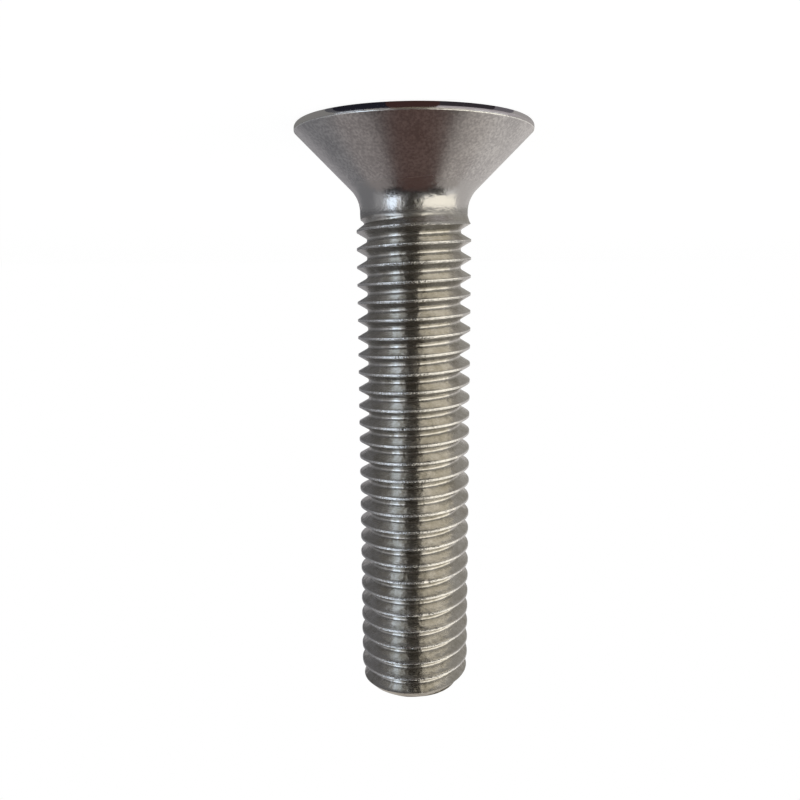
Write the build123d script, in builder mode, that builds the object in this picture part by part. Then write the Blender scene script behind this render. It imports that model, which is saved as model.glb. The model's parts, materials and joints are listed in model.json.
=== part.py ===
from build123d import *

import os
from math import cos, radians, tan

# Countersunk screw with a hexagon socket, M10 x 50 in stainless steel, headed and rolled from one bar.
# It stands on its head: the head's flat face is at Z = 0, centred on the origin, and the tip points up.
# All lengths are in millimetres and all angles in degrees.

os.makedirs("parts", exist_ok=True)

# The whole screw, from the head's face to the tip: nominal 50, which may be 0.5 short.
length = 49.5

# Head: a flat face, a short upright rim with a rounded edge, and the countersunk cone.
head_diameter = 19.8
head_angle = 90
rim_height = 0.65
rim_rounding = 0.45
rim_land = 0.1  # the least upright band that the rounding may leave on the rim

# Neck: the bar as it was before rolling, which meets the cone in a wide blend.
neck_diameter = 9.1
neck_blend = 2.6
neck_straight = 0.35

# Shank over the crests of the M10 x 1.5 thread, with a rolled-up lead at the neck and a chamfered tip.
thread_diameter = 9.85
lead_length = 0.8
tip_chamfer = 0.95

# Hexagon socket: a drilled and broached hole with a coned mouth and the drill's point at the bottom.
socket_across_flats = 6.05
socket_depth = 4.4
drill_point_angle = 120
mouth_angle = 90
mouth_margin = 0.2  # how far the coned mouth reaches outside the hexagon's corners

# Radii and heights that follow from the sizes above.
head_radius = head_diameter / 2
neck_radius = neck_diameter / 2
thread_radius = thread_diameter / 2
cone_top = rim_height + (head_radius - neck_radius) / tan(radians(head_angle / 2))
blend_top = cone_top + neck_blend * tan(radians(head_angle / 4))
lead_bottom = blend_top + neck_straight
lead_top = lead_bottom + lead_length

socket_radius = socket_across_flats / 2
corner_radius = socket_radius / cos(radians(30))
mouth_radius = corner_radius + mouth_margin
mouth_depth = (mouth_radius - socket_radius) / tan(radians(mouth_angle / 2))
drill_point_height = socket_radius / tan(radians(drill_point_angle / 2))
upwards = (Align.CENTER, Align.CENTER, Align.MIN)

with BuildPart() as countersunk_screw:
    # The outline from the axis out along the face, then up the rim, cone, neck and shank to the tip.
    with BuildSketch(Plane.XZ):
        with BuildLine():
            Polyline(
                (0, 0),
                (head_radius, 0),
                (head_radius, rim_height),
                (neck_radius, cone_top),
                (neck_radius, lead_bottom),
                (thread_radius, lead_top),
                (thread_radius, length - tip_chamfer),
                (thread_radius - tip_chamfer, length),
                (0, length),
                close=True,
            )
        make_face()
        face_edge = vertices().sort_by_distance((head_radius, 0))[0]
        fillet(face_edge, radius=min(rim_rounding, rim_height - rim_land))
        cone_root = vertices().sort_by_distance((neck_radius, cone_top))[0]
        fillet(cone_root, radius=neck_blend)
    revolve(axis=Axis.Z)

    # The socket is broached into the face, over the drilled hole whose point stays below it.
    with BuildSketch(Plane.XY):
        RegularPolygon(socket_radius, 6, major_radius=False)
    extrude(amount=socket_depth, mode=Mode.SUBTRACT)
    with Locations((0, 0, socket_depth)):
        Cone(socket_radius, 0, drill_point_height, align=upwards, mode=Mode.SUBTRACT)
    Cone(mouth_radius, socket_radius, mouth_depth, align=upwards, mode=Mode.SUBTRACT)

countersunk_screw.part.label = "countersunk_screw"
export_step(countersunk_screw.part, "parts/countersunk_screw.step")
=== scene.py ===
import json
from math import atan2, cos, pi, radians, sin, tan

import bmesh
import bpy
from mathutils import Euler, Matrix, Vector, noise


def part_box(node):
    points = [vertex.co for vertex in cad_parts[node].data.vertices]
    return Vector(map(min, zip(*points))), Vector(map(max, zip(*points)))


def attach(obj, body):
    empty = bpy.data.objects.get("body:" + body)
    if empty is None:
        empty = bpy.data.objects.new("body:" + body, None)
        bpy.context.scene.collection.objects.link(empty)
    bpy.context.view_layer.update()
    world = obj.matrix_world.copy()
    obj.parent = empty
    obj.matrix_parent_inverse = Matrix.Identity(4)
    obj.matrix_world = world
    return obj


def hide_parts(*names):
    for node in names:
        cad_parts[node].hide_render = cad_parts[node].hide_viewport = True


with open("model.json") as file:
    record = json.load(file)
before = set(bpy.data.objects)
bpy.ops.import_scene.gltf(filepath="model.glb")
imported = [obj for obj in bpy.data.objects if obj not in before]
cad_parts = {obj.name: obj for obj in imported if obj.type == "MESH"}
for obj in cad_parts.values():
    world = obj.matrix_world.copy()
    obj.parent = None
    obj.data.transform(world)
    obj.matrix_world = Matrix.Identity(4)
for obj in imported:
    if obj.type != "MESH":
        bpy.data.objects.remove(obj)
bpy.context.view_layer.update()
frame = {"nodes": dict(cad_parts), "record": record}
scene = bpy.context.scene
scene.view_settings.view_transform = "Standard"
mm = 0.001
mounts = {mount["name"]: mount["dims"] for mount in frame["record"]["mounts"]}
print("frame loaded:", sorted(frame["nodes"]))


def findSocket(sockets, name):
    # by its number, or by its identifier or name
    if isinstance(name, int):
        return sockets[name]
    return next(s for s in sockets if name in (s.identifier, s.name))


class Wire:
    # wraps a socket, so that each operator on it adds its Math node
    def __init__(self, tree, socket=None):
        self.tree = tree
        self.socket = socket

    def node(self, kind, settings, sockets, out=0):
        made = self.tree.nodes.new("ShaderNode" + kind)
        for name, value in settings.items():
            setattr(made, name, value)
        for name, value in sockets.items():
            target = findSocket(made.inputs, name)
            if isinstance(value, Wire):
                self.tree.links.new(value.socket, target)
            else:
                target.default_value = value
        if not made.outputs:
            return self
        return Wire(self.tree, findSocket(made.outputs, out))

    def also(self, name):
        # another output of the node that this one comes from
        return Wire(self.tree, findSocket(self.socket.node.outputs, name))

    def math(self, operation, *values):
        return self.node("Math", {"operation": operation}, dict(enumerate(values)))

    def __add__(self, other):
        return self.math("ADD", self, other)

    def __radd__(self, other):
        return self.math("ADD", other, self)

    def __sub__(self, other):
        return self.math("SUBTRACT", self, other)

    def __rsub__(self, other):
        return self.math("SUBTRACT", other, self)

    def __mul__(self, other):
        return self.math("MULTIPLY", self, other)

    def __rmul__(self, other):
        return self.math("MULTIPLY", other, self)

    def __pow__(self, other):
        return self.math("POWER", self, other)

    def __rpow__(self, other):
        return self.math("POWER", other, self)

    def __abs__(self):
        return self.math("ABSOLUTE", self)

    def step(self, low, high):
        # 0 below low and 1 above high, with a smooth rise between; falls where low is above high
        return self.node(
            "MapRange",
            {"interpolation_type": "SMOOTHSTEP"},
            {"Value": self, "From Min": low, "From Max": high, "To Min": 0.0, "To Max": 1.0},
        )

    def mix(self, first, second):
        # from the first colour to the second as this goes from 0 to 1
        sockets = {"Factor_Float": self, "A_Color": first, "B_Color": second}
        return self.node("Mix", {"data_type": "RGBA"}, sockets, "Result_Color")

    def noise(self, place, scale, detail, rough):
        sockets = {"Vector": place, "Scale": scale, "Detail": detail, "Roughness": rough}
        return self.node("TexNoise", {}, sockets, "Fac")


def newMaterial(name):
    material = bpy.data.materials.new(name)
    material.use_nodes = True
    tree = material.node_tree
    tree.nodes.clear()
    return material, Wire(tree)


def between(ends, share):
    return ends[0] + (ends[1] - ends[0]) * share


def rise(ends, value):
    # 0 before the first end and 1 after the second, with a smooth rise between
    share = min(1.0, max(0.0, (value - ends[0]) / (ends[1] - ends[0])))
    return share * share * (3 - 2 * share)


# The screw is one mesh, and each ring of it has a corner in every column round the axis. Its forms
# are in millimetres and degrees, and +Z runs from the head's face to the tip.
screwForm = {
    "length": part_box("countersunk_screw")[1].z / mm,
    "columns": 220,
    "touch": 1e-5,  # heights that differ by less than this are the same
    "sharpAngle": 40,  # edges that turn by more than this stay crisp
}
angles = [2 * pi * column / screwForm["columns"] for column in range(screwForm["columns"])]

socketForm = {
    "sides": 6,
    "flat": mounts["drive_socket"]["r_mm"],  # from the axis to the middle of a side
    "depth": mounts["drive_socket"]["length_mm"],
    "wallRings": (0.66, 0.33),  # in shares of the depth
    "mouthMargin": 0.2,  # the mouth's conical chamfer reaches this far past the corners
    "pointAngle": 60,  # from the axis to the side of the drill's point
    "pointRings": (0.5, 0.96),  # rings on the drill's point, in shares of the flat's distance
    "floorRing": 0.99,  # and where it meets the socket's floor
}


def drillPointHeight():
    return socketForm["flat"] / tan(radians(socketForm["pointAngle"]))


def socketOutline(angle):
    # (radius, height) in one column, from near the drill's point out to the mouth
    form = socketForm
    flat = form["flat"]
    depth = form["depth"]
    sector = 2 * pi / form["sides"]
    wall = flat / cos(abs(angle % sector - sector / 2))
    mouth = flat / cos(sector / 2) + form["mouthMargin"]
    points = [(flat * share, depth + drillPointHeight() * (1 - share)) for share in form["pointRings"]]
    points += [(flat * form["floorRing"], depth), (wall, depth)]
    points += [(wall, depth * share) for share in form["wallRings"]]
    points += [(wall, mouth - wall), (mouth, 0.0)]
    return points


headForm = {
    "radius": mounts["countersink"]["r_mm"],
    "coneHeight": mounts["countersink"]["length_mm"],
    "coneAngle": 45,  # from the axis to the cone's side
    "faceWidth": 5.0,
    "faceRings": (1.0, 0.6, 0.3, 0.1),  # in shares of the face's width, from the rim inwards
    "rimHeight": 0.65,
    "rimRounding": 0.45,
    "rimEdge": 0.07,  # the small radius where rim and cone meet
    "neckBlend": 2.6,
    "steps": {"rim": 8, "edge": 4, "cone": 13, "blend": 12},
}
neckRadius = headForm["radius"] - headForm["coneHeight"] * tan(radians(headForm["coneAngle"]))


def headOutline():
    # (radius, height) from the socket's mouth along the face and round the head to the neck
    form = headForm
    steps = form["steps"]
    slope = radians(form["coneAngle"])
    rounding = form["rimRounding"]
    middle = form["radius"] - rounding
    points = [(middle - share * form["faceWidth"], 0.0) for share in form["faceRings"]]
    for step in range(steps["rim"] + 1):
        turn = pi / 2 * step / steps["rim"]
        points.append((middle + rounding * sin(turn), rounding * (1 - cos(turn))))
    # a small round at the rim's upper edge, from upright to the cone's slope
    edge = form["rimEdge"]
    edgeHeight = form["rimHeight"] - edge * tan(slope / 2)
    points.append((form["radius"], (rounding + edgeHeight) / 2))
    for step in range(steps["edge"] + 1):
        turn = slope * step / steps["edge"]
        points.append((form["radius"] - edge * (1 - cos(turn)), edgeHeight + edge * sin(turn)))
    # the cone, then the blend into the neck
    blend = form["neckBlend"]
    blendMiddle = neckRadius + blend
    blendHeight = form["rimHeight"] + form["coneHeight"] + blend * tan(slope / 2)
    radii = (points[-1][0], blendMiddle - blend * cos(slope))
    heights = (points[-1][1], blendHeight - blend * sin(slope))
    for step in range(1, steps["cone"]):
        share = step / steps["cone"]
        points.append((between(radii, share), between(heights, share)))
    for step in range(steps["blend"] + 1):
        turn = slope * (1 - step / steps["blend"])
        points.append((blendMiddle - blend * cos(turn), blendHeight - blend * sin(turn)))
    return points


threadForm = {
    "start": 7.35,  # the first height that the thread's grid covers
    "pitch": 1.5,
    "crestRadius": mounts["thread"]["r_mm"] - 0.04,  # rolled crests stay a little low
    "minorRadius": 4.0,
    "flankAngle": 30,  # from a flank to the plane across the axis
    "rootWidth": 0.3,
    "rootRounding": 0.15,
    "crestFold": 0.012,  # depth of the seam that rolling leaves along the crest
    "foldWidth": 0.1,
    "frontCrest": 8.29,  # height of the first crest at the front, -Y
    "groovesFrom": (7.4, 8.45),  # the groove floor sinks from the neck to full depth between these
    "crestsFrom": (7.45, 8.3),  # and the crests rise between these
    "wornFrom": 0.8,  # wear starts at this share of the height from root to crest
    "waviness": 0.018,
    "waves": (3.0, 0.9),  # the noise's scale across the screw, and to a millimetre along it
    "waveSink": 0.6,  # the waves' middle lies this share of their height below the crest
    "nickDepth": 0.02,
    "nicks": (14.0, 3.1),  # the same for the nicks
    "nickShift": 40.0,  # the nicks read their noise this far from the waves' place
    "nickRise": (0.36, 0.62),  # they deepen where it lies between these
    "crestRow": 0.03,  # from the crest's edge to the next row of the grid
    "rootRows": (-0.045, 0.05),  # rows of the grid, from the root's edge
    "spareTurns": 2,  # the grid starts and ends this far outside the thread, and is held back to it
}

tipForm = {
    "chamfer": 0.95,
    "lean": 0.3,  # the chamfer stands a little off the middle, towards +X
    "finerFrom": 0.4,  # the finer grid starts this far before the chamfer
    "hollow": ((3.9, 0.0), (3.6, -0.03), (1.5, -0.06), (0.25, -0.065)),  # each ring's radius and height
}


def turnOf(angle):
    # the part of a turn from the front, -Y, towards +X
    return (angle + pi / 2) / (2 * pi)


def threadRadius(angle, z):
    form = threadForm
    slope = tan(radians(form["flankAngle"]))
    floor = between((neckRadius, form["minorRadius"]), rise(form["groovesFrom"], z))
    crest = between((neckRadius, form["crestRadius"]), rise(form["crestsFrom"], z))
    turns = (z - form["frontCrest"]) / form["pitch"] - turnOf(angle)
    fromCrest = abs(turns - round(turns)) * form["pitch"]
    # a groove with a narrow floor, joined to each flank by an arc
    arc = form["rootRounding"]
    tangent = arc * slope
    fromArc = (form["pitch"] - form["rootWidth"]) / 2 - fromCrest + tangent
    if fromArc < 0:
        depth = 0.0
    elif fromArc < arc * cos(radians(form["flankAngle"])):
        depth = arc - (arc * arc - fromArc * fromArc) ** 0.5
    else:
        depth = (fromArc - tangent) / slope
    radius = floor + depth
    if radius > crest:
        seam = form["crestFold"] * max(0.0, 1 - fromCrest / form["foldWidth"] * 2)
        radius = crest - seam * rise(form["crestsFrom"], z)
    chamfer = form["crestRadius"] - tipForm["chamfer"] + (screwForm["length"] - z)
    return min(radius, chamfer + tipForm["lean"] * cos(angle))


def crestWear(angle, z, radius):
    # rolled crests wave a little and carry small nicks
    form = threadForm
    height = (radius - form["minorRadius"]) / (form["crestRadius"] - form["minorRadius"])
    if height < form["wornFrom"]:
        return 0.0
    across, along = form["waves"]
    wave = noise.noise(Vector((cos(angle) * across, sin(angle) * across, z * along)))
    across, along = form["nicks"]
    spot = noise.noise(Vector((cos(angle) * across, sin(angle) * across, z * along + form["nickShift"])))
    nick = form["nickDepth"] * rise(form["nickRise"], spot)
    share = (height - form["wornFrom"]) / (1 - form["wornFrom"])
    return share * ((wave - form["waveSink"]) * form["waviness"] - nick)


def threadOffsets():
    # heights of the grid's rows over one pitch, from the middle of the crest
    form = threadForm
    rootEdge = (form["pitch"] - form["rootWidth"]) / 2
    crestEdge = rootEdge - (form["crestRadius"] - form["minorRadius"]) * tan(radians(form["flankAngle"]))
    side = [form["foldWidth"] / 2, crestEdge, crestEdge + form["crestRow"]]
    side += [rootEdge + row for row in form["rootRows"]]
    return [-offset for offset in reversed(side)] + [0.0] + side + [form["pitch"] / 2]


def ring(work, turns, points):
    # a corner at each angle, with its own radius and height
    return [
        work.verts.new((radius * cos(turn), radius * sin(turn), height))
        for turn, (radius, height) in zip(turns, points)
    ]


def join(work, lower, upper):
    for i in range(len(lower)):
        after = (i + 1) % len(lower)
        work.faces.new((lower[i], lower[after], upper[after], upper[i]))


def threadGrid(work):
    # rows that follow the helix, held between the neck and the tip; gives back the ring at the neck
    form = threadForm
    low = form["start"]
    high = screwForm["length"]
    offsets = threadOffsets()
    turns = range(-form["spareTurns"], int((high - low) / form["pitch"]) + form["spareTurns"] + 1)
    grid = []
    for angle in angles:
        crests = [form["frontCrest"] + form["pitch"] * (turn + turnOf(angle)) for turn in turns]
        grid.append([min(high, max(low, crest + offset)) for crest in crests for offset in offsets])
    lastRow = len(grid[0]) - 1
    made = {}

    def corner(column, row):
        # where the columns close, the helix is one turn of rows further on
        if column == len(angles):
            column = 0
            row += len(offsets)
        z = grid[column][min(lastRow, max(0, row))]
        key = (column, round(z / screwForm["touch"]))
        if key not in made:
            radius = threadRadius(angles[column], z)
            made[key] = work.verts.new((radius * cos(angles[column]), radius * sin(angles[column]), z))
        return made[key]

    for column in range(len(angles)):
        for row in range(-len(offsets), lastRow):
            corners = [corner(column, row), corner(column + 1, row)]
            corners += [corner(column + 1, row + 1), corner(column, row + 1)]
            corners = list(dict.fromkeys(corners))
            if len(corners) > 2:
                work.faces.new(corners)
    return [corner(column, 0) for column in range(len(angles))]


def refineTip(work):
    # a crisp edge where the tip's chamfer starts, and a finer grid over it
    start = screwForm["length"] - tipForm["chamfer"]
    geometry = [*work.verts, *work.edges, *work.faces]
    bmesh.ops.bisect_plane(work, geom=geometry, plane_co=(0, 0, start), plane_no=(0, 0, 1))
    near = [e for e in work.edges if min(v.co.z for v in e.verts) > start - tipForm["finerFrom"]]
    bmesh.ops.subdivide_edges(work, edges=near, cuts=1, use_grid_fill=True)


def wearThread(work):
    for vert in work.verts:
        z = vert.co.z
        if threadForm["start"] < z < screwForm["length"] - screwForm["touch"]:
            angle = atan2(vert.co.y, vert.co.x)
            radius = threadRadius(angle, z)
            radius += crestWear(angle, z, radius)
            vert.co = Vector((radius * cos(angle), radius * sin(angle), z))


def closeTip(work):
    # the end face, turned a little hollow
    high = screwForm["length"]
    outer = [vert for vert in work.verts if abs(vert.co.z - high) < screwForm["touch"]]
    outer.sort(key=lambda vert: atan2(vert.co.y, vert.co.x))
    turns = [atan2(vert.co.y, vert.co.x) for vert in outer]
    for radius, height in tipForm["hollow"]:
        inner = ring(work, turns, [(radius, high + height)] * len(turns))
        join(work, outer, inner)
        outer = inner
    work.faces.new(outer)


def shadeFaces(work):
    sharpAngle = radians(screwForm["sharpAngle"])
    for face in work.faces:
        face.smooth = True
    for edge in work.edges:
        edge.smooth = not (edge.is_manifold and edge.calc_face_angle(0) > sharpAngle)


def screwMesh():
    work = bmesh.new()
    # socket, face, rim, cone and blend are rings
    rings = [ring(work, angles, level) for level in zip(*[socketOutline(angle) for angle in angles])]
    rings += [ring(work, angles, [point] * len(angles)) for point in headOutline()]
    drillPoint = work.verts.new((0, 0, socketForm["depth"] + drillPointHeight()))
    for i in range(len(angles)):
        work.faces.new((drillPoint, rings[0][(i + 1) % len(angles)], rings[0][i]))
    for lower, upper in zip(rings, rings[1:]):
        join(work, lower, upper)
    join(work, rings[-1], threadGrid(work))
    refineTip(work)
    wearThread(work)
    closeTip(work)
    bmesh.ops.recalc_face_normals(work, faces=work.faces)
    bmesh.ops.scale(work, vec=(mm, mm, mm), verts=work.verts)
    shadeFaces(work)
    mesh = bpy.data.meshes.new("screwBody")
    work.to_mesh(mesh)
    work.free()
    return mesh


mesh = screwMesh()
print("screw mesh:", sum(len(face.vertices) - 2 for face in mesh.polygons), "triangles")

# The steel's finishes: a polished rim of brighter steel that lifts its glints, a painted highlight
# in part, with a thin broken line along its edge painted as a highlight; a satin cone; a bright neck;
# and a thread with rough crests, whose grooves are painted darker than the crests as painted shade,
# mottled at random. Each fade is where a finish starts and where it is full, in millimetres: along
# +Z, from the rim's edge, from the axis, or from the nick.
steelLook = {
    # the rim: polished, with low roughness, and brighter steel than the rest so its glints read brighter:
    # partly a painted highlight
    "rim": {"shade": (0.8, 0.79, 0.78, 1), "roughness": 0.14, "fade": (0.66, 0.56)},
    # a thin line of brighter steel along the rim's edge, broken by the burr noise: a painted highlight
    "edge": {"shade": (0.9, 0.9, 0.86, 1), "fade": (0.049, 0.035), "breaks": (0.3, 0.6)},
    "cone": {"dull": (0.45, 0.437, 0.43, 1), "bright": (0.66, 0.645, 0.625, 1), "roughness": 0.29},
    "neck": {"shade": (0.5, 0.49, 0.475, 1), "roughness": 0.24, "fade": (4.5, 5.3)},
    "thread": {
        # the grooves' dark colour: painted shade, darker than the crests, which the noises mix with the
        # lighter one as mottle
        "stain": (0.42, 0.4, 0.355, 1),
        "groove": (0.63, 0.615, 0.59, 1),
        "roughness": 0.25,
        "fade": (7.1, 7.9),
    },
    # the crests stay light, above the grooves' painted shade
    "crest": {"shade": (0.64, 0.63, 0.61, 1), "fade": (4.72, 4.88)},
    # a real nick on a crest, painted as a spot of near-white, smoother steel: a painted glint
    "nick": {
        "shade": (0.97, 0.94, 0.9, 1),
        "roughness": 0.15,
        "fade": (0.24, 0.14),
        "angle": -101.4,  # round the axis, from +X
        "height": 38.2,
    },
    # each noise's scale in waves to the metre, its detail and its roughness
    "noises": {
        "cloud": (500.0, 3.0, 0.55),
        "mottle": (1700.0, 2.0, 0.5),
        "grain": (4500.0, 3.0, 0.6),
        "burr": (7500.0, 2.0, 0.6),
    },
    # the fine lines that rolling leaves: waves to the metre across, along and outwards from the axis
    "rolling": {"waves": (200.0, 300.0, 9000.0), "detail": 3.0, "roughness": 0.6},
    # how far the noises move a colour between its two shades, from the middle
    "satin": {"middle": 0.45, "cloud": 1.6, "grain": 4.0},
    "worn": {"middle": 0.5, "cloud": 1.4, "mottle": 1.2, "grain": 1.2},
    # how far they move the roughness
    "unevenness": {"cloud": 0.1, "rolling": 0.2},
    # the depth of the bumps in millimetres, and the noises' shares of it, everywhere or in one zone
    "bumpDepth": 0.02,
    "bumps": {
        "grain": 0.2,
        "cloud": 0.4,
        "neckGrain": 0.5,
        "neckMottle": 1.7,
        "threadCloud": 3.5,
        "threadMottle": 1.9,
        "threadRolling": 0.25,
        "crestBurr": 2.1,
    },
}


def steelNoises(start, place, x, y, z, radius):
    look = steelLook
    noises = {name: start.noise(place, *values) for name, values in look["noises"].items()}
    across, along, outwards = look["rolling"]["waves"]
    lines = {"X": x * across, "Y": y * across, "Z": z * along + radius * outwards}
    lines = start.node("CombineXYZ", {}, lines)
    noises["rolling"] = start.noise(lines, 1.0, look["rolling"]["detail"], look["rolling"]["roughness"])
    return noises


def steelZones(start, place, z, radius, burr):
    # where each finish is: 1 on it and 0 elsewhere
    look = steelLook

    def fade(name, value):
        first, full = look[name]["fade"]
        return value.step(first * mm, full * mm)

    thread = fade("thread", z)
    neck = fade("neck", z) * (1 - thread)
    rim = fade("rim", z)
    cone = (1 - thread) * (1 - neck) * (1 - rim)
    crest = fade("crest", radius)
    # the rim's edge line, broken by the burrs, where the highlight is painted
    edge = fade("edge", abs(z - headForm["rimHeight"] * mm)) * burr.step(*look["edge"]["breaks"])
    # the spot where the nick's glint is painted
    turn = radians(look["nick"]["angle"])
    side = threadForm["crestRadius"] * mm
    spot = (side * cos(turn), side * sin(turn), look["nick"]["height"] * mm)
    nick = fade("nick", start.node("VectorMath", {"operation": "DISTANCE"}, {0: place, 1: spot}, "Value"))
    zones = {"rim": rim, "edge": edge, "cone": cone, "neck": neck, "thread": thread}
    return {**zones, "crest": crest, "nick": nick}


def steelColour(noises, zones):
    look = steelLook

    def varied(weights, first, second):
        parts = [(noises[name] - 0.5) * weight for name, weight in weights.items() if name in noises]
        return sum(parts, weights["middle"]).mix(first, second)

    base = varied(look["satin"], look["cone"]["dull"], look["cone"]["bright"])
    for name in ("rim", "edge", "neck"):
        base = zones[name].mix(base, look[name]["shade"])
    # grooves and flanks: painted shade, darker than the crests, mottled at random
    thread = varied(look["worn"], look["thread"]["stain"], look["thread"]["groove"])
    thread = zones["crest"].mix(thread, look["crest"]["shade"])
    base = zones["thread"].mix(base, thread)
    return zones["nick"].mix(base, look["nick"]["shade"])


def steelRoughness(noises, zones):
    look = steelLook
    rough = (noises["cloud"] - 0.5) * look["unevenness"]["cloud"]
    rough = rough + (noises["rolling"] - 0.5) * zones["thread"] * look["unevenness"]["rolling"]
    parts = [zones[name] * look[name]["roughness"] for name in ("cone", "neck", "rim", "thread", "nick")]
    return sum(parts, rough)


def steelHeight(noises, zones):
    bumps = steelLook["bumps"]
    neck = zones["neck"]
    thread = zones["thread"]
    height = noises["grain"] * (bumps["grain"] + neck * bumps["neckGrain"])
    height = height + noises["burr"] * zones["crest"] * thread * (1 - zones["nick"]) * bumps["crestBurr"]
    height = height + noises["rolling"] * thread * bumps["threadRolling"]
    height = height + noises["cloud"] * (bumps["cloud"] + thread * bumps["threadCloud"])
    return height + noises["mottle"] * (neck * bumps["neckMottle"] + thread * bumps["threadMottle"])


def steelMaterial():
    material, start = newMaterial("stainlessSteel")
    place = start.node("TexCoord", {}, {}, "Object")
    x = start.node("SeparateXYZ", {}, {"Vector": place}, "X")
    y = x.also("Y")
    z = x.also("Z")
    radius = (x * x + y * y) ** 0.5
    noises = steelNoises(start, place, x, y, z, radius)
    zones = steelZones(start, place, z, radius, noises["burr"])
    height = steelHeight(noises, zones)
    relief = {"Strength": 1.0, "Distance": steelLook["bumpDepth"] * mm, "Height": height}
    sockets = {
        "Base Color": steelColour(noises, zones),
        "Metallic": 1.0,
        "Roughness": steelRoughness(noises, zones),
        "Normal": start.node("Bump", {}, relief),
    }
    surface = start.node("BsdfPrincipled", {}, sockets)
    start.node("OutputMaterial", {}, {"Surface": surface})
    return material


mesh.materials.append(steelMaterial())
screw = bpy.data.objects.new("screwBody", mesh)
scene.collection.objects.link(screw)
# broad faces keep their own direction, so that the flanks of the thread stay flat
flats = screw.modifiers.new("flats", "WEIGHTED_NORMAL")
flats.keep_sharp = True
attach(screw, "root")
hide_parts("countersunk_screw")
print("steel finished")


def backgroundSeen(start):
    # 1 for the rays that should find a white background: camera, glossy and transmission rays
    camera = start.node("LightPath", {}, {}, "Is Camera Ray")
    reflected = camera.math("MAXIMUM", camera, camera.also("Is Glossy Ray"))
    return camera.math("MAXIMUM", reflected, camera.also("Is Transmission Ray"))


# white paper floor, which mixes its own white with the light that falls on it, for the shadow
floorLook = {
    "side": 4.0,  # half the floor's width, in metres
    "drop": 0.01,  # millimetres below the head's face
    "paper": (0.9, 0.9, 0.9, 1),
    "white": 1.155,  # strength of its own white
    "share": 0.8,  # of that white in what is seen, beside the lit paper
}
floorMesh = bpy.data.meshes.new("floor")
side = floorLook["side"]
corners = [(-side, -side, 0), (side, -side, 0), (side, side, 0), (-side, side, 0)]
floorMesh.from_pydata(corners, [], [(0, 1, 2, 3)])
floor = bpy.data.objects.new("floor", floorMesh)
floor.location.z = -floorLook["drop"] * mm
scene.collection.objects.link(floor)
floorMaterial, start = newMaterial("floorPaper")
paper = start.node("BsdfDiffuse", {}, {"Color": floorLook["paper"]})
white = start.node("Emission", {}, {"Color": (1, 1, 1, 1), "Strength": floorLook["white"]})
share = backgroundSeen(start) * floorLook["share"]
surface = start.node("MixShader", {}, {0: share, 1: paper, 2: white})
start.node("OutputMaterial", {}, {"Surface": surface})
floorMesh.materials.append(floorMaterial)

# strengths of the white sky, as it is seen and as it lights
skyLook = {"seen": 1.0, "lighting": 0.4}
world = bpy.data.worlds.new("studio")
world.use_nodes = True
scene.world = world
world.node_tree.nodes.clear()
start = Wire(world.node_tree)
strength = backgroundSeen(start) * (skyLook["seen"] - skyLook["lighting"]) + skyLook["lighting"]
sky = start.node("Background", {}, {"Color": (1, 1, 1, 1), "Strength": strength})
start.node("OutputWorld", {}, {"Surface": sky})
print("floor and sky made")

# Two upright softboxes. Azimuths go from the front, -Y, towards +X, and tilts go up from level, both
# in degrees; how far away a box or cloth is, and the level, are in metres.
studioLevel = 0.02  # the height from which tilts are taken
softboxes = {
    "coolBox": {
        "azimuth": 47.5,
        "spread": 8,
        "tilts": (-2.5, 34),
        "away": 0.35,
        "glow": 1.7,
        "colour": (0.56, 0.75, 1.0),
    },
    "warmBox": {
        "azimuth": -54,
        "spread": 42,
        "tilts": (-2.5, 34),
        "away": 0.35,
        "glow": 0.75,
        "colour": (1.0, 0.885, 0.63),
    },
}

for name, look in softboxes.items():
    turn = radians(look["azimuth"])
    away = look["away"]
    low, high = [away * tan(radians(tilt)) for tilt in look["tilts"]]
    lamp = bpy.data.lights.new(name, "AREA")
    lamp.shape = "RECTANGLE"
    lamp.size = 2 * away * tan(radians(look["spread"]))
    lamp.size_y = high - low
    lamp.energy = look["glow"] * pi * lamp.size * lamp.size_y
    lamp.color = look["colour"]
    holder = bpy.data.objects.new(name, lamp)
    holder.location = (sin(turn) * away, -cos(turn) * away, studioLevel + (low + high) / 2)
    holder.rotation_mode = "QUATERNION"
    holder.rotation_quaternion = Vector((-sin(turn), cos(turn), 0)).to_track_quat("-Z", "Y")
    holder.visible_camera = False
    scene.collection.objects.link(holder)

# Cloths that hang round the steel, so that it has greys to reflect beside white. Each is a patch of
# a sphere round the screw, except the crown's: a strip of one width, which leans from the front over
# the top and a little down behind, and lies a little aside, towards -X.
# Each cloth glows with its shade and only reflections see it: it paints what the steel reflects there, and
# lights nothing.
cloths = {
    "frontCloth": {"azimuths": (-14, 26), "tilts": (-3, 42), "away": 0.29, "shade": (0.032, 0.026, 0.02)},
    "browCloth": {"azimuths": (-76, 74), "tilts": (35, 75), "away": 0.3, "shade": (0.018, 0.016, 0.018)},
    "crownCloth": {
        "leans": (58, 110),
        "width": 0.36,
        "aside": 0.12,
        "away": 0.31,
        "shade": (0.11, 0.06, 0.052),
    },
    "leftWing": {"azimuths": (62, 90), "tilts": (-3, 42), "away": 0.34, "shade": (0.45, 0.45, 0.47)},
    "leftCloth": {"azimuths": (90, 145), "tilts": (-3, 42), "away": 0.33, "shade": (0.26, 0.262, 0.28)},
    "backCloth": {"azimuths": (145, 180), "tilts": (-3, 42), "away": 0.33, "shade": (0.42, 0.41, 0.43)},
    "leftRoof": {"azimuths": (0, 180), "tilts": (42, 90), "away": 0.36, "shade": (0.37, 0.34, 0.34)},
    "rightCloth": {"azimuths": (-180, -98), "tilts": (-3, 42), "away": 0.33, "shade": (0.72, 0.69, 0.675)},
    "tipCloth": {"azimuths": (140, 220), "tilts": (46, 70), "away": 0.3, "shade": (0.62, 0.58, 0.52)},
    "rightRoof": {"azimuths": (-180, 0), "tilts": (42, 90), "away": 0.36, "shade": (0.54, 0.5, 0.475)},
}
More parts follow.
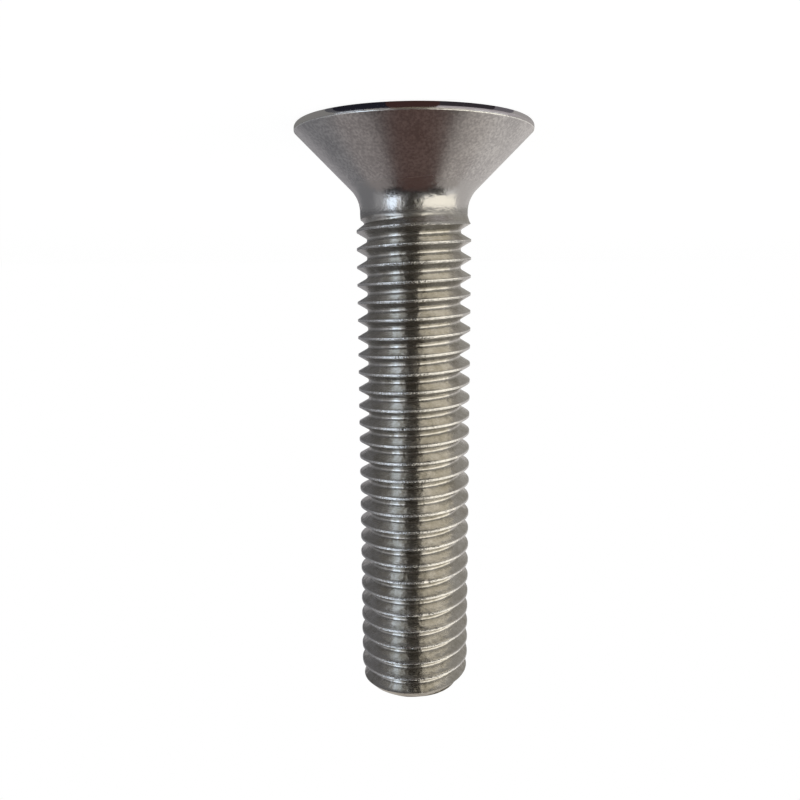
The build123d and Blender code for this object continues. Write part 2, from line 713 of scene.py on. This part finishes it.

# Cards that lie on the floor round the head, each from its inner to its outer radius in millimetres.
# Each glows with its shade and only reflections see it, so it paints what the steel reflects of the
# floor there. The rim's land and rounding reflect those nearest to it, and the glints lie on top.
cards = {
    "frontCard": {"azimuths": (-22, 32), "radii": (13.5, 400), "shade": (0.07, 0.06, 0.05)},
    "leftCard": {"azimuths": (32, 180), "radii": (13.5, 400), "shade": (0.17, 0.17, 0.18)},
    "rightCard": {"azimuths": (-180, -22), "radii": (13.5, 400), "shade": (0.42, 0.405, 0.38)},
    "rimFront": {"azimuths": (-10, 13), "radii": (9.5, 13.5), "shade": (0.05, 0.025, 0.023)},
    "rimCool": {"azimuths": (13, 39), "radii": (9.5, 13.5), "shade": (0.015, 0.015, 0.022)},
    "rimShade": {"azimuths": (39, 44), "radii": (9.5, 13.5), "shade": (0.09, 0.09, 0.1)},
    # glints: bright glowing strips that only the rim reflects, painted highlights along its edge
    "glintLeft": {"azimuths": (28, 46), "radii": (12.2, 13.1), "lift": 0.03, "shade": (0.85, 0.9, 1.0)},
    "glintCool": {"azimuths": (13, 28), "radii": (12.5, 13.4), "lift": 0.03, "shade": (0.7, 0.68, 0.66)},
    "glintFront": {"azimuths": (-7, 13), "radii": (12.8, 13.4), "lift": 0.03, "shade": (0.5, 0.47, 0.36)},
    "glintWarm": {"azimuths": (-31, -7), "radii": (12.6, 13.4), "lift": 0.03, "shade": (1.0, 0.96, 0.82)},
    "glintRight": {"azimuths": (-56, -31), "radii": (12.2, 13.1), "lift": 0.03, "shade": (0.85, 0.85, 0.86)},
    "rimLeft": {"azimuths": (44, 180), "radii": (9.5, 13.5), "shade": (0.22, 0.215, 0.21)},
    # rimNear and rimTurn: a dark ring next to the head, fading at the side: a painted contact shadow that
    # the rim reflects
    "rimNear": {"azimuths": (-37, -10), "radii": (9.5, 10.6), "shade": (0.035, 0.03, 0.035)},
    "rimTurn": {"azimuths": (-50, -37), "radii": (9.5, 10.6), "shade": (0.14, 0.13, 0.145)},
    "rimFar": {"azimuths": (-62, -10), "radii": (10.6, 13.5), "shade": (0.42, 0.385, 0.4)},
    "rimRight": {"azimuths": (-180, -50), "radii": (9.5, 10.6), "shade": (0.36, 0.34, 0.335)},
    "rimBack": {"azimuths": (-180, -62), "radii": (10.6, 13.5), "shade": (0.4, 0.375, 0.37)},
}
cardLift = 0.02  # above the head's face, in millimetres
cells = 16  # of each cloth and card, both ways


def cardPoint(look, across, up):
    azimuth = radians(between(look["azimuths"], across))
    radius = between(look["radii"], up) * mm
    return Vector((sin(azimuth) * radius, -cos(azimuth) * radius, look.get("lift", cardLift) * mm))


def stripPoint(look, across, up):
    lean = radians(between(look["leans"], up))
    sideways = (across * 2 - 1 - look["aside"]) * look["width"] * sin(lean)
    return Vector((sideways, -cos(lean), sin(lean))).normalized() * look["away"]


def patchPoint(look, across, up):
    azimuth = radians(between(look["azimuths"], across))
    tilt = radians(between(look["tilts"], up))
    flat = look["away"] * cos(tilt)
    height = look["away"] * sin(tilt) + studioLevel
    return Vector((sin(azimuth) * flat, -cos(azimuth) * flat, height))


def clothGrid(look):
    if "radii" in look:
        pointAt = cardPoint
    elif "leans" in look:
        pointAt = stripPoint
    else:
        pointAt = patchPoint
    points = [pointAt(look, i / cells, j / cells) for j in range(cells + 1) for i in range(cells + 1)]
    faces = []
    for j in range(cells):
        for i in range(cells):
            corner = j * (cells + 1) + i
            faces.append((corner, corner + 1, corner + cells + 2, corner + cells + 1))
    return points, faces


for name, look in {**cloths, **cards}.items():
    points, faces = clothGrid(look)
    clothMesh = bpy.data.meshes.new(name)
    clothMesh.from_pydata(points, [], faces)
    clothMaterial, start = newMaterial(name)
    surface = start.node("Emission", {}, {"Color": look["shade"] + (1,), "Strength": 1.0})
    start.node("OutputMaterial", {}, {"Surface": surface})
    clothMesh.materials.append(clothMaterial)
    cloth = bpy.data.objects.new(name, clothMesh)
    cloth.visible_camera = False
    cloth.visible_diffuse = False
    cloth.visible_shadow = False
    scene.collection.objects.link(cloth)
print("studio lit:", len(softboxes), "softboxes,", len(cloths), "cloths and", len(cards), "cards")

cameraLook = {
    "place": (1.259, -65.927, 11.406),  # in millimetres, as the lens and its sensor
    "upward": 10.151,  # in degrees, as the roll
    "roll": 179.685,  # the camera hangs upside down, which puts the head on top
    "lens": 34.061,
    "sensor": 36,
}
cameraData = bpy.data.cameras.new("camera")
cameraData.lens = cameraLook["lens"]
cameraData.sensor_width = cameraLook["sensor"]
cameraData.clip_start = mm
camera = bpy.data.objects.new("camera", cameraData)
camera.location = Vector(cameraLook["place"]) * mm
aim = Euler((radians(90 + cameraLook["upward"]), 0, 0)).to_matrix()
aim = aim @ Matrix.Rotation(radians(cameraLook["roll"]), 3, "Z")
camera.rotation_mode = "QUATERNION"
camera.rotation_quaternion = aim.to_quaternion()
scene.collection.objects.link(camera)
scene.camera = camera
print("camera placed")

bpy.context.view_layer.update()
